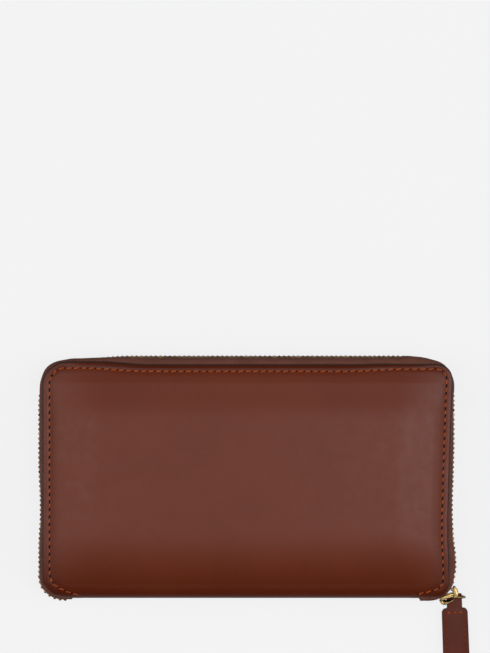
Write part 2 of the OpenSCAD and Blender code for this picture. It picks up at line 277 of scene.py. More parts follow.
def paper(name):
    n = new_material(name)
    colour = n.mix(n.noise((0.3, 2.0, 2.0), 5), (0.42, 0.33, 0.22), (0.26, 0.19, 0.12))
    return n.finish(colour, 0.85, n.bump(n.noise(2.0, 4), 0.4, 0.1))


# The cover leather reads painted shade from a per-point attribute of its mesh.
LEATHER_MAT = leather("cover_leather", (0.0796, 0.0136, 0.0045), (0.0722, 0.0122, 0.0040), 0.3,
                      with_painted_shade=True)
TAB_MAT = leather("tab_leather", (0.062, 0.0100, 0.0038), (0.038, 0.0062, 0.0024), 0.42, 0.3)
INNER_MAT = leather("inner_leather", (0.120, 0.028, 0.012), (0.085, 0.018, 0.007), 0.55, 0.3)
EDGE_MAT = edge_paint("painted_edge")
THREAD_MAT = thread("orange_thread", (0.300, 0.060, 0.009), (0.125, 0.020, 0.003))
TAB_THREAD_MAT = thread("dark_orange_thread", (0.115, 0.020, 0.005), (0.060, 0.010, 0.003))
HOLE_SHADE_MAT = stitch_hole_shade("stitch_hole_shade")
TAPE_MAT = woven("tape_weave", (0.150, 0.058, 0.041), (0.032, 0.010, 0.006), 0.62, math.radians(35), 0.9, 0.0)
LINING_MAT = woven("lining_twill", (0.060, 0.031, 0.019), (0.026, 0.012, 0.007), 0.5, math.radians(45))
POCKET_MAT = woven("pocket_cloth", (0.070, 0.036, 0.022), (0.030, 0.014, 0.008), 0.6, 0.0)
TOOTH_MAT = metal("antique_teeth", (0.34, 0.20, 0.07), (0.030, 0.013, 0.006), 0.34, (0.42, 0.68), 0.9)
BRASS_MAT = metal("polished_brass", (0.215, 0.155, 0.064), (0.070, 0.045, 0.017), 0.24, (0.35, 0.65), 0.6)
BOARD_MAT = paper("board_fibre")


# ---- mesh helpers ----

def add_mesh(name, verts, faces, mats, face_mats, uvs, sharp):
    """New object in the shared frame from points in millimetres; uvs are in millimetres too."""
    me = bpy.data.meshes.new(name)
    me.from_pydata([(x * MM, y * MM, z * MM) for x, y, z in verts], [], faces)
    for m in mats:
        me.materials.append(m)
    if face_mats:
        me.polygons.foreach_set("material_index", face_mats)
    if uvs:
        layer = me.uv_layers.new(name="UVMap")
        for loop in me.loops:
            layer.data[loop.index].uv = uvs[loop.vertex_index]
    bm = bmesh.new()
    bm.from_mesh(me)
    bmesh.ops.recalc_face_normals(bm, faces=bm.faces)
    bm.to_mesh(me)
    bm.free()
    return place(name, me, sharp)


def place(name, me, sharp):
    """New object of a mesh, smooth apart from the edges over an angle."""
    me.polygons.foreach_set("use_smooth", [True] * len(me.polygons))
    me.set_sharp_from_angle(angle=math.radians(sharp))
    me.update()
    ob = bpy.data.objects.new(name, me)
    bpy.context.scene.collection.objects.link(ob)
    return ob


def grid_faces(cols, rows, wrap_cols=False, wrap_rows=False):
    """Quads of a grid stored row after row."""
    faces = []
    for i in range(rows if wrap_rows else rows - 1):
        for j in range(cols if wrap_cols else cols - 1):
            a, b = i * cols + j, i * cols + (j + 1) % cols
            up = ((i + 1) % rows - i) * cols
            faces.append((a, b, b + up, a + up))
    return faces


def tube_mesh(loops, closed=False):
    """Verts and faces of a skin over equal loops of points, capped at its ends."""
    n = len(loops[0])
    verts = [p for loop in loops for p in loop]
    faces = grid_faces(n, len(loops), True, closed)
    if not closed:
        faces += [tuple(range(n)), tuple(range(len(verts) - n, len(verts)))]
    return verts, faces


def extend(verts, faces, part):
    """Add a part's points and faces to lists that may hold others."""
    start = len(verts)
    verts += part[0]
    faces += [tuple(i + start for i in face) for face in part[1]]


def both_sides(faces, n, rim):
    """A sheet's faces, those of its other side n points further on, and the strip along its rim."""
    under = [tuple(i + n for i in reversed(f)) for f in faces]
    ring = [(a, b, b + n, a + n) for a, b in zip(rim, rim[1:] + rim[:1])]
    return faces + under + ring


def bezier(points, t):
    """Point of a cubic curve through the first and the last of four points in a plane."""
    b = [(1 - t) ** 3, 3 * t * (1 - t) ** 2, 3 * t * t * (1 - t), t ** 3]
    return tuple(sum(f * p[c] for f, p in zip(b, points)) for c in (0, 1))


def between(p0, p1, p2, p3, t):
    """Point of a smooth line between p1 and p2 that goes on through p0 and p3."""
    return 0.5 * ((2 * p1) + (p2 - p0) * t + (2 * p0 - 5 * p1 + 4 * p2 - p3) * t * t
                  + (3 * p1 - p0 - 3 * p2 + p3) * t ** 3)


def bevelled(node, name, mat, slot, body, width):
    """Copy of a CAD solid with its edges rounded, shown in the solid's place."""
    bm = bmesh.new()
    bm.from_mesh(frame["nodes"][node].data)
    bmesh.ops.remove_doubles(bm, verts=bm.verts, dist=1e-6)
    bmesh.ops.dissolve_limit(bm, angle_limit=math.radians(1.5), verts=bm.verts, edges=bm.edges)
    bmesh.ops.recalc_face_normals(bm, faces=bm.faces)
    hard = [e for e in bm.edges if len(e.link_faces) == 2 and e.calc_face_angle(0) > math.radians(35)]
    bmesh.ops.bevel(bm, geom=hard, offset=width * MM, segments=2, profile=0.5, affect="EDGES",
                    clamp_overlap=True)
    me = bpy.data.meshes.new(name)
    bm.to_mesh(me)
    bm.free()
    me.materials.clear()
    me.materials.append(mat)
    me.polygons.foreach_set("material_index", [0] * len(me.polygons))
    give(place(name, me, 40), slot, body, None, node)


def give(ob, slot, body, bend, *nodes):
    """Bakes the piece's transform when a bend is given, else hangs it on its body's empty, and hides the CAD
    nodes that it replaces; slot is not used.
    """
    if bend:
        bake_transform(ob)
    else:
        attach(ob, body)
    if nodes:
        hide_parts(*nodes)


FOLD_FRONT = ("spine", "front", (0, Y_SPINE * MM, (MID + 3.4) * MM), (0, Y_SPINE * MM, (BODY - 3.2) * MM))
FOLD_BACK = ("back", "spine", (0, Y_SPINE * MM, 3.2 * MM), (0, Y_SPINE * MM, (MID - 3.4) * MM))


def flip(points):
    """Mirror points to the back half."""
    return [(x, y, BODY - z) for x, y, z in points]


# ---- leather covers ----

def plan_y(s):
    """The section's Y at a length s along it."""
    if s <= S_FLAT:
        return Y_TOP - s
    if s <= S_FOLD:
        return Y_SPINE + FOLD_R - FOLD_R * math.sin((s - S_FLAT) / FOLD_R)
    return Y_SPINE


def section(x, s, depth):
    """Point at a depth below the front leather's outer face."""
    if s <= S_FLAT:
        return x, Y_TOP - s, BODY - depth
    if s <= S_FOLD:
        a = (s - S_FLAT) / FOLD_R
        r = FOLD_R - depth
        return x, Y_SPINE + FOLD_R - r * math.sin(a), BODY - FOLD_R + r * math.cos(a)
    return x, Y_SPINE + depth, BODY - FOLD_R - (s - S_FOLD)


def half_width(s):
    """Half the leather's width at a length s along its section."""
    inner = HALF_W - CORNER_R
    if s < CORNER_R:
        return inner + math.sqrt(max(0, CORNER_R ** 2 - (CORNER_R - s) ** 2))
    if s >= S_FOLD:
        t = (s - S_FOLD) / (S_MID - S_FOLD)
        run, slope = S_MID - S_FOLD, -1.12
        h = 2 * t ** 3 - 3 * t ** 2 + 1
        return h * inner + (t ** 3 - 2 * t ** 2 + t) * run * slope + (1 - h) * SPINE_HALF
    low = Y_SPINE + CORNER_R - plan_y(s)
    return inner + math.sqrt(max(0, CORNER_R ** 2 - max(0, low) ** 2))


ARC_STEPS = 16


def arch_outline(inset):
    """The leather's free edge as (x, s), from the lower left end over the top to the lower right end.

    The places of the two upper corners in it are given too.
    """
    right = []
    inner = HALF_W - CORNER_R
    for k in range(ARC_STEPS + 1):
        a = math.radians(90 - 90 * k / ARC_STEPS)
        right.append((inner + CORNER_R * math.cos(a), CORNER_R - CORNER_R * math.sin(a)))
    side = [CORNER_R + (S_FLAT - 2 - CORNER_R) * k / 30 for k in range(1, 31)]
    side += [S_FLAT - 2 + (S_MID - S_FLAT + 2) * k / 22 for k in range(1, 23)]
    right += [(half_width(v), v) for v in side]
    top = [(-inner * (1 - 2 * k / 58), 0.0) for k in range(1, 58)]
    path = [(-x, v) for x, v in reversed(right)] + top + right
    out = []
    for i, (x, v) in enumerate(path):
        a, b = path[max(0, i - 1)], path[min(len(path) - 1, i + 1)]
        tx, ts = b[0] - a[0], b[1] - a[1]
        length = math.hypot(tx, ts)
        nx, ns = -ts / length, tx / length
        if v > S_FOLD:
            k = smooth(v, S_FOLD, S_MID)
            nx, ns = nx * (1 - k) + math.copysign(k, -x), ns * (1 - k)
        out.append((x + nx * inset, v + ns * inset))
    return out, len(right) - ARC_STEPS // 2 - 1, len(right) + len(top) + ARC_STEPS // 2


FAR_INSIDE = 20.0
INSETS = [0, 0.08, 0.2, 0.34, 0.5, 0.75, 1.05, 1.35, 1.65, 1.95, 2.25, 2.55, 2.9, 3.4, 4.2, 5.4, 7.0, 8.2]


def patch(insets):
    """(x, s, inset) of a cover's grid: rings along the free edge, then a grid that fills the middle."""
    rings = [arch_outline(i) for i in insets]
    points = [(x, s, d) for (ring, _, _), d in zip(rings, insets) for x, s in ring]
    n = len(rings[0][0])
    faces = grid_faces(n, len(insets))
    last, tl, tr = rings[-1]
    base = (len(insets) - 1) * n
    across, down = tr - tl, tl
    top = last[tl:tr + 1]
    left = last[:tl + 1]
    right = last[tr:][::-1]
    index = {}
    for i in range(down + 1):
        for j in range(across + 1):
            if j == 0:
                index[i, j] = base + i
            elif j == across:
                index[i, j] = base + n - 1 - i
            elif i == down:
                index[i, j] = base + tl + j
            else:
                u = (top[j][0] - top[0][0]) / (top[-1][0] - top[0][0])
                w = 1 - (left[i][1] - left[-1][1]) / (left[0][1] - left[-1][1])
                bottom = (left[0][0] + u * (right[0][0] - left[0][0]), left[0][1])
                p = []
                for c in (0, 1):
                    edge = (1 - u) * left[i][c] + u * right[i][c]
                    lid = (1 - w) * bottom[c] + w * top[j][c]
                    ends_low = (1 - u) * left[0][c] + u * right[0][c]
                    ends_top = (1 - u) * left[-1][c] + u * right[-1][c]
                    p.append(edge + lid - ((1 - w) * ends_low + w * ends_top))
                index[i, j] = len(points)
                points.append((p[0], p[1], FAR_INSIDE))
    for i in range(down):
        for j in range(across):
            faces.append((index[i, j], index[i, j + 1], index[i + 1, j + 1], index[i + 1, j]))
    bottom = [k * n for k in range(len(insets))] + [index[0, j] for j in range(1, across)]
    bottom += [k * n + n - 1 for k in reversed(range(len(insets)))]
    rim = list(range(n)) + bottom[::-1][1:-1]
    return points, faces, rim


def rise(d, strip, first, last):
    """Height share at a distance inside an edge: steep beside the seam, then gentle."""
    return 0.3 * smooth(d, strip[0], strip[1]) + 0.7 * smooth(d, first, last)


def sink(s):
    """How far the leather lies inside the fold's plain curve, so that it rolls over to the spine early."""
    if s < S_FLAT - 22 or s > S_FOLD:
        return 0.0
    if s < S_FLAT:
        return 1.15 * ((s - S_FLAT + 22) / 22) ** 2.6
    t = (s - S_FLAT) / (S_FOLD - S_FLAT)
    return 1.15 * (2 * t ** 3 - 3 * t ** 2 + 1) + 1.5 * (t ** 3 - 2 * t ** 2 + t)


def swell(x, s, back):
    """How far the leather stands outside its flat face: the front is softly filled, the back lies flat."""
    w = half_width(s) if s < S_FLAT else HALF_W
    left = rise(x + w, (2.6, 8.2), 5, 26)
    right = rise(w - x, (2.6, 8.6), 4, 24)
    top = rise(s, (1.9, 9.0), 4, 26)
    low = 1 - min(1, max(0, (s - S_FLAT + 24) / 25)) ** 2
    return (0.15 if back else 2.2) * left * right * top * low - sink(s)


def lean(x, y, z):
    """The front cover's edges aren't quite straight: the right one leans, the upper left one stands out."""
    lift = smooth(z, MID, BODY - 2)
    k = 1.5 * y / 42 if y > 0 else -0.45 * smooth(-y, 2, 20) * (1 - smooth(-y, 24, 38))
    bow = 1.45 * smooth(x, -91, -82) * (1 - smooth(x, -68, -44))
    bow += 0.3 * smooth(x, 50, 62) * (1 - smooth(x, 66, 76))
    corner = 0.95 * math.exp(-((x - 90) ** 2 + (y + 50) ** 2) / 40)
    corner += 0.3 * math.exp(-((x + 90) ** 2 + (y + 50) ** 2) / 30)
    upper = 0.6 * math.exp(-((x - 90) ** 2 + (y - 50) ** 2) / 25)
    x += (k * smooth(x, 58, 92) + corner + upper - 0.2 * smooth(-x, 70, 92)) * lift
    y += (bow * smooth(y, 49.4, 53.9) + math.copysign(corner, -x) + upper + 0.3 * smooth(y, 48, 53)) * lift
    return x, y - 0.8 * smooth(-y, 45, 53.4), z


def stitch_path():
    """(x, s) along the seam: up the left side, over the top and down the right side."""
    inset_side, inset_top = 2.9, 2.2
    right = []
    for k in range(25):
        a = math.radians(90 - 90 * k / 24)
        cx, cy = HALF_W - CORNER_R, CORNER_R
        right.append((cx + (CORNER_R - inset_side) * math.cos(a), cy - (CORNER_R - inset_top) * math.sin(a)))
    x = HALF_W - inset_side
    right += [(x, CORNER_R + (S_FLAT - 4 - CORNER_R) * k / 60) for k in range(1, 61)]
    curve = [(x, S_FLAT - 4), (x - 0.5, S_FLAT + 2.4), (x - 4.0, S_FLAT + 3.6), (x - 12.4, S_FLAT + 6.8)]
    right += [bezier(curve, k / 30) for k in range(1, 31)]
    half = HALF_W - CORNER_R
    top = [(-half + 2 * half * k / 80, inset_top) for k in range(1, 80)]
    top = [(px, ps + 0.85 * (1 - smooth(abs(px), 45, 75))) for px, ps in top]
    return [(0.35 - px, ps) for px, ps in reversed(right)] + top + right


SEAM = stitch_path()
SEAM_FINE = [(a[0] + (b[0] - a[0]) * k / 4, a[1] + (b[1] - a[1]) * k / 4)
             for a, b in zip(SEAM, SEAM[1:]) for k in range(4)]


def seam_distance(points):
    """Distance of each (x, s) from the seam."""
    seam = np.array(SEAM_FINE)
    p = np.array([(x, s) for x, s, _ in points])
    out = np.full(len(p), 99.0)
    for k in range(0, len(seam), 16):
        part = seam[k:k + 16]
        d = np.sqrt(((p[:, None, :] - part[None]) ** 2).sum(-1)).min(1)
        out = np.minimum(out, d)
    return out


def painted_shade(x, s):
    """Share of the leather's colour left by the painted shade along its edges and its fold."""
    # All four shares are painted shade: a strip inside each side, the top rim, a band below the top, and the
    # roll-over into the fold.
    side = 0.15 * (1 - smooth(half_width(s) - abs(x), 4.5, 9.5))
    rim = 0.34 * (1 - smooth(s, 1.7, 2.7)) * (1 - 0.5 * smooth(abs(x), 60, 85))
    top = 0.10 * (1 - smooth(s, 3, 8)) + 0.05 * (1 - smooth(s, 8, 34))
    fold = 0.38 * min(1, max(0, (s - 72) / 34)) ** 2.3
    return (1 - side) * (1 - rim) * (1 - top) * (1 - fold)


def cover_skin(name, back):
    points, faces, rim = patch(INSETS)
    near = seam_distance(points)
    tops = []
    r = 0.62
    for (x, s, d), q in zip(points, near):
        round_off = r - math.sqrt(max(0, r * r - max(0, r - d) ** 2))
        fade = 1 - smooth(s, S_FOLD - 2, S_FOLD + 3)
        groove = 0.3 * math.exp(-(q / 0.75) ** 2)
        slope = 0.14 * (1 - smooth(d, 0.4, 2.0)) * fade
        slope += 0.75 * (1 - min(1, s / 2.4)) ** 1.3 * (1 - smooth(abs(x), 74, 84))
        tops.append(section(x, s, round_off * fade + groove + slope - swell(x, s, back)))
    verts = [lean(*p) for p in tops]
    verts += [lean(*section(x, s, LEATHER - min(h, 0.6 * h))) for x, s, h in
              ((x, s, swell(x, s, back)) for x, s, d in points)]
    if back:
        verts = flip(verts)
    edge = {i for i, (x, s, d) in enumerate(points) if d <= (0.5 if s > 0.6 else 0.75)}
    mats = [1 if all(i in edge for i in f) else 0 for f in faces] + [0] * len(faces) + [1] * len(rim)
    uvs = [(x, s) for x, s, d in points] * 2
    ob = add_mesh(name, verts, both_sides(faces, len(points), rim), [LEATHER_MAT, EDGE_MAT], mats, uvs, 60)
    # Painted shade is stored per point on the mesh for the cover's material.
    shade = ob.data.attributes.new("painted_shade", "FLOAT", "POINT")
    shade.data.foreach_set("value", [painted_shade(x, s) for x, s, d in points] * 2)
    nodes = ("back_cover", "spine_cover") if back else ("front_cover",)
    give(ob, "cover_leather", None, FOLD_BACK if back else FOLD_FRONT, *nodes)


def blob(centre, along, up, half, rings):
    """A rounded thread or slot: half is (half length, half width, half height)."""
    a, u = Vector(along).normalized(), Vector(up).normalized()
    across = u.cross(a).normalized()
    loops = []
    for i in range(1, rings):
        t = math.pi * i / rings
        c, r = -math.cos(t), math.sin(t) ** 0.6
        loops.append([tuple(Vector(centre) + a * (c * half[0]) + across * (r * half[1] * math.cos(k))
                            + u * (r * half[2] * math.sin(k)))
                      for k in (2 * math.pi * j / 8 for j in range(8))])
    return tube_mesh(loops)


def surface_at(x, s, lift, back):
    """Point at a height over the seam's groove, and the outward direction there."""
    e = 0.4
    p = Vector(lean(*section(x, s, 0.3 - lift - swell(x, s, back))))
    q = Vector(lean(*section(x, s + e, 0.3 - lift - swell(x, s + e, back))))
    r = Vector(lean(*section(x + e, s, 0.3 - lift - swell(x + e, s, back))))
    up = (q - p).cross(r - p)
    if up.z < 0:
        up = -up
    if up.length < 1e-9:
        up = Vector((0, 0, 1))
    if back:
        p, up = Vector((p.x, p.y, BODY - p.z)), Vector((up.x, up.y, -up.z))
    return p, up.normalized()


def seam(name, back):
    """Thread stitches and, between them, dark slanted sheets that paint the shade of the holes, sunk in the
    groove.
    """
    rnd = random.Random(7 if back else 3)
    dist = [0.0]
    for a, b in zip(SEAM, SEAM[1:]):
        dist.append(dist[-1] + math.hypot(b[0] - a[0], b[1] - a[1]))
    count = round(dist[-1] / 3.45)
    step = dist[-1] / count
    parts = {"thread": ([], [], []), "slot": ([], [], [])}

    def at(d):
        i = max(k for k in range(len(dist)) if dist[k] <= d or k == 0)
        i = min(i, len(SEAM) - 2)
        t = (d - dist[i]) / (dist[i + 1] - dist[i])
        a, b = SEAM[i], SEAM[i + 1]
        return (a[0] + (b[0] - a[0]) * t, a[1] + (b[1] - a[1]) * t), (b[0] - a[0], b[1] - a[1])

    for k in range(count):
        for kind, offset in (("thread", 0.25), ("slot", 0.75)):
            d = (k + offset) * step + rnd.uniform(-0.06, 0.06)
            (x, s), (tx, ts) = at(min(dist[-1] - 0.01, max(0.01, d)))
            along_top = abs(tx) > abs(ts)
            lift = 0.10 if kind == "thread" else 0.07
            p, up = surface_at(x, s, lift, back)
            q, _ = surface_at(x + tx * 0.5, s + ts * 0.5, lift, back)
            tilt = math.radians((11 if kind == "thread" else 16) + rnd.uniform(-4, 4))
            if back:
                tilt = -tilt
            along = Matrix.Rotation(-tilt if not along_top else tilt, 3, up) @ (q - p)
            if kind == "thread":
                half = ((1.20 if along_top else 0.95) * rnd.uniform(0.92, 1.08), 0.35, 0.25)
            else:
                round_slot = along_top or s > S_FLAT
                half = (0.42, 0.33, 0.08) if round_slot else (0.84, 0.40 * rnd.uniform(0.9, 1.1), 0.10)
            part = blob(p, along, up, half, 8)
            verts, faces, uvs = parts[kind]
            extend(verts, faces, part)
            a = along.normalized()
            c = up.cross(a)
            for w in part[0]:
                w = Vector(w) - p
                uvs.append((w.dot(a), w.dot(c) + 0.5 * w.dot(up)))
    # The slots are dark sheets on the groove: painted shade of the stitch holes.
    for kind, mat in (("thread", THREAD_MAT), ("slot", HOLE_SHADE_MAT)):
        verts, faces, uvs = parts[kind]
        ob = add_mesh(f"{name}_{kind}", verts, faces, [mat], None, uvs, 75)
        give(ob, "cover_leather", None, FOLD_BACK if back else FOLD_FRONT)


# ---- linings ----

LINING_GAP = 1.3


def lining_skin(name, back):
    points, faces, rim = patch([0, 0.12, 0.3, 0.6, 1.2, 2.4, 4.5, 8.0])
    top, low = [], []
    k = (HALF_W - LINING_GAP) / HALF_W
    for x, s, d in points:
        fold = smooth(s, S_FLAT - 6, S_FLAT + 1)
        near = 1.55 + (2.02 - 1.55) * (1 - fold) + sink(s) * smooth(s, S_FLAT - 3, S_FLAT + 3)
        round_off = 0.16 - math.sqrt(max(0, 0.16 ** 2 - max(0, 0.16 - d) ** 2))
        ripple = 0.06 * math.sin(x * 0.21 + s * 0.07) * math.sin(s * 0.13 + 1) * (1 - fold)
        y_in = LINING_GAP * (1 - smooth(s, 0, 30))
        xx = x * k if s < S_FOLD else x * (k + (1 - k) * smooth(s, S_FOLD, S_MID)) - math.copysign(0.15, x)
        top.append(section(xx, s + y_in, near))
        low.append(section(xx, s + y_in, near + 0.46 - round_off + ripple * 0.5))
    verts = top + low
    if back:
        verts = flip(verts)
    uvs = [(x, s) for x, s, d in points] * 2
    ob = add_mesh(name, verts, both_sides(faces, len(points), rim), [LINING_MAT], None, uvs, 50)
    nodes = ("back_lining", "spine_lining") if back else ("front_lining",)
    give(ob, "lining_fabric", None, FOLD_BACK if back else FOLD_FRONT, *nodes)


# ---- zip tape and teeth ----

S_TOP = ZIP_X - R_TOP
S_TURN = S_TOP + math.pi / 2 * R_TOP
S_SIDE = S_TURN + (ZIP_TOP - R_TOP) - (ZIP_LOW + R_LOW)
S_CORNER = S_SIDE + math.pi / 2 * R_LOW
S_SPLIT = S_TURN + (ZIP_TOP - R_TOP) - SPLIT_Y
S_END = S_CORNER + 4


def zip_at(s):
    """Point on the zip's centre line at length s from the middle of the top, and its outward angle."""
    q = abs(s)
    if q <= S_TOP:
        x, y, a = q, ZIP_TOP, 90
    elif q <= S_TURN:
        a = 90 - math.degrees((q - S_TOP) / R_TOP)
        x = ZIP_X - R_TOP + R_TOP * math.cos(math.radians(a))
        y = ZIP_TOP - R_TOP + R_TOP * math.sin(math.radians(a))
    elif q <= S_SIDE:
        x, y, a = ZIP_X, ZIP_TOP - R_TOP - (q - S_TURN), 0
    elif q <= S_CORNER:
        a = -math.degrees((q - S_SIDE) / R_LOW)
        x = CORNER[0] + R_LOW * math.cos(math.radians(a))
        y = CORNER[1] + R_LOW * math.sin(math.radians(a))
    else:
        x, y, a = CORNER[0] - (q - S_CORNER), ZIP_LOW, -90
    if s < 0:
        x, a = -x, 180 - a
        out = -1.6 * window(q, S_TOP - 26, S_TOP, S_TOP + 3, S_TOP + 13)
        out -= 0.5 * window(q, S_TURN - 10, S_TURN - 5, S_TURN - 4, S_TURN + 3)
        out += 0.6 * smooth(q, S_TURN - 2, S_TURN + 6) + 0.7 * smooth(q, S_SIDE - 2, S_SIDE + 8)
        out -= 0.7 * window(q, S_SIDE - 52, S_SIDE - 32, S_SIDE - 28, S_SIDE - 12)
    else:
        out = -0.8 * window(q, S_TOP - 8, S_TOP + 2, S_TOP + 5, S_TOP + 12)
        out += 0.7 * smooth(q, S_TOP + 5, S_TURN - 9) + 0.25 * smooth(q, S_TURN - 4, S_TURN + 5)
        out -= 0.35 * smooth(q, S_SIDE - 60, S_SIDE - 44)
        out -= 0.4 * window(q, S_SIDE - 46, S_SIDE - 34, S_SIDE - 28, S_SIDE - 16)
        out += 1.25 * smooth(q, S_SIDE - 20, S_SIDE - 5) - 0.5 * smooth(q, S_SIDE - 3, S_SIDE + 1)
    x, y = x + out * math.cos(math.radians(a)), y + out * math.sin(math.radians(a))
    return x, y, math.radians(a)


def from_edge(x, y):
    """Distance from a point outside the leather's outline to that outline, seen from the front."""
    c = CORNER_R
    qx, qy = abs(x) - (HALF_W - c), abs(y) - (Y_TOP - c)
    return math.hypot(max(qx, 0), max(qy, 0)) + min(max(qx, qy), 0) - c


def tape_section(s):
    """Outer line of the front tape's section as (outward, z), from under the leather to the teeth."""
    x, y, a = zip_at(s)
    out = max(0.2, from_edge(x, y))
    puff = 0.12 + 0.7 * smooth(s, S_SIDE - 2, S_SIDE + 6)
    reach = 34 if s < 0 else 10
    puff += 1.25 * smooth(abs(s), S_TOP - reach, S_TOP - 4) * (1 - smooth(abs(s), S_TURN - 5, S_TURN + 6))
    lid = BODY - LEATHER - 0.1 - 2.5 * smooth(abs(s), S_SIDE - 6, S_SIDE + 7)
    curve = [(-out - 1.6, lid - 1.6), (-0.25 * out + puff * 0.9, lid - 0.3), (puff * 1.7, lid - 3.6),
             (0, MID + TAPE_EDGE)]
    return [bezier(curve, k / 12) for k in range(13)]


def tape(name, s_list, back, body, nodes, cut=0):
    """Closed strip of tape; cut 1 ends it before the round split, -1 starts it after the split."""
    half_t = 0.28
    loops, uvs = [], []
    for s in s_list:
        line = tape_section(s)
        n = len(line)
        outer, inner = [], []
        for i, (o, z) in enumerate(line):
            a, b = line[max(0, i - 1)], line[min(n - 1, i + 1)]
            to, tz = b[0] - a[0], b[1] - a[1]
            length = math.hypot(to, tz)
            no, nz = -tz / length, to / length
            outer.append((o + no * half_t, z + nz * half_t))
            inner.append((o - no * half_t, z - nz * half_t))
        end = line[-1]
        profile = outer + [(end[0], end[1] - 0.12)] + inner[::-1]
        loop = []
        travelled = 0
        for k, (o, z) in enumerate(profile):
            ss = s
            if cut:
                edge = Y_SPINE + math.sqrt(SPLIT_R ** 2 - (z - MID) ** 2) + (0.12 if cut > 0 else 0)
                s_cut = S_TURN + (ZIP_TOP - R_TOP) - edge
                near, far = (S_SPLIT - 14, S_SPLIT) if cut > 0 else (S_SPLIT, S_SPLIT + 8)
                q = abs(s)
                if cut > 0 and q > near:
                    q = near + (q - near) * (s_cut - near) / (far - near)
                elif cut < 0 and q < far:
                    q = far - (far - q) * (far - s_cut) / (far - near)
                ss = math.copysign(q, s)
            x, y, a = zip_at(ss)
            loop.append((x + o * math.cos(a), y + o * math.sin(a), z))
            if k:
                travelled += math.hypot(o - profile[k - 1][0], z - profile[k - 1][1])
            uvs.append((ss, travelled))
        loops.append(flip(loop) if back else loop)
    verts, faces = tube_mesh(loops)
    ob = add_mesh(name, verts, faces, [TAPE_MAT], None, uvs, 65)
    give(ob, "zip_tape", body, None, *nodes)


def spaced(a, b, step):
    n = max(2, round(abs(b - a) / step))
    return [a + (b - a) * k / n for k in range(n + 1)]


def tooth_shape(out_reach):
    """One tooth gripping the front tape, as (outward, along, z from the middle) loops."""
    levels = [
        (-0.42, 0.50, 0.30), (-0.36, 0.68, 0.40), (-0.1, 0.78, 0.45), (0.35, 0.80, 0.46), (0.62, 0.98, 0.66),
        (1.0, 1.0, 0.74), (1.9, 0.98, 0.74), (2.25, 0.88, 0.66), (2.42, 0.62, 0.45),
    ]
    loops = []
    for z, wide, long in levels:
        loop = []
        for k in range(12):
            a = 2 * math.pi * k / 12
            c, d = math.cos(a), math.sin(a)
            c = math.copysign(abs(c) ** 0.7, c)
            d = math.copysign(abs(d) ** 0.8, d)
            reach = out_reach if c > 0 else TOOTH_HALF
            loop.append((c * wide * reach, d * long, z))
        loops.append(loop)
    return loops


def teeth(name, s_list, front, body, node):
    """A row of teeth at the given lengths along the zip's line."""
    shape = tooth_shape(1.22 if front else 0.92)
    verts, faces = [], []
    rnd = random.Random(len(s_list))
    for s in s_list:
        x, y, a = zip_at(s)
        ca, sa = math.cos(a), math.sin(a)
        yaw = rnd.uniform(-0.05, 0.05)
        loops = []
        for loop in shape:
            points = []
            for o, l, z in loop:
                o, l = o - l * yaw, l + o * yaw
                points.append((x + o * ca - l * sa, y + o * sa + l * ca, MID + (z if front else -z)))
            loops.append(points)
        extend(verts, faces, tube_mesh(loops))
    ob = add_mesh(name, verts, faces, [TOOTH_MAT], None, None, 50)
    give(ob, "zip_teeth", body, None, node)


def teeth_places(s0, s1, front):
    """Lengths along the zip's line of one row's teeth; the back row's lie between the front row's."""
    shift = 0 if front else 0.5
    first, last = math.ceil(s0 / PITCH - shift), math.floor(s1 / PITCH - shift)
    return [(k + shift) * PITCH for k in range(first, last + 1)]


# ---- slider, link, ring and tab of the main zip ----

SLIDER_TURN = -70


def from_corner(*places):
    """Points from their distances outward from the corner's centre and along the tangent at the slider."""
    a = math.radians(SLIDER_TURN)
    return [(CORNER[0] + out * math.cos(a) - along * math.sin(a),
             CORNER[1] + out * math.sin(a) + along * math.cos(a)) for out, along in places]


def spline(points):
    """Smooth closed line through points."""
    out = []
    n = len(points)
    for i in range(n):
        p0, p1, p2, p3 = (Vector(points[(i + k - 1) % n]) for k in range(4))
        out += [tuple(between(p0, p1, p2, p3, k / 5)) for k in range(5)]
    return out


def slab(outline, z0, z1, r):
    """Verts and faces of an outline in X and Y between two heights, with its edges rounded."""
    n = len(outline)
    normals = []
    area = sum(p[0] * q[1] - q[0] * p[1] for p, q in zip(outline, outline[1:] + outline[:1]))
    sign = 1 if area > 0 else -1
    for i in range(n):
        a, b = Vector(outline[i - 1][:2]), Vector(outline[(i + 1) % n][:2])
        t = (b - a).normalized()
        normals.append((-t.y * sign, t.x * sign))
    loops = []
    for k in range(5):
        a = math.pi / 2 * k / 4
        loops.append((r * (1 - math.sin(a)), z0 + r * (1 - math.cos(a))))
    loops += [(o, z0 + z1 - z) for o, z in reversed(loops)]
    return tube_mesh([[(p[0] + q[0] * o, p[1] + q[1] * o, z) for p, q in zip(outline, normals)]
                      for o, z in loops])


def joined(name, parts, mat, sharp=45, uvs=None):
    """New object of several parts in one mesh."""
    verts, faces = [], []
    for part in parts:
        extend(verts, faces, part)
    return add_mesh(name, verts, faces, [mat], None, uvs, sharp)


def round_wire(path, r):
    """Round wire along a closed path of points."""
    n = len(path)
    loops = []
    for i in range(n):
        p = Vector(path[i])
        t = (Vector(path[(i + 1) % n]) - Vector(path[i - 1])).normalized()
        side = t.cross(Vector((0, 1, 0)))
        side = side.normalized() if side.length > 1e-3 else Vector((1, 0, 0))
        up = side.cross(t)
        loops.append([tuple(p + side * (r * math.cos(a)) + up * (r * math.sin(a)))
                      for a in (2 * math.pi * k / 12 for k in range(12))])
    return tube_mesh(loops, True)


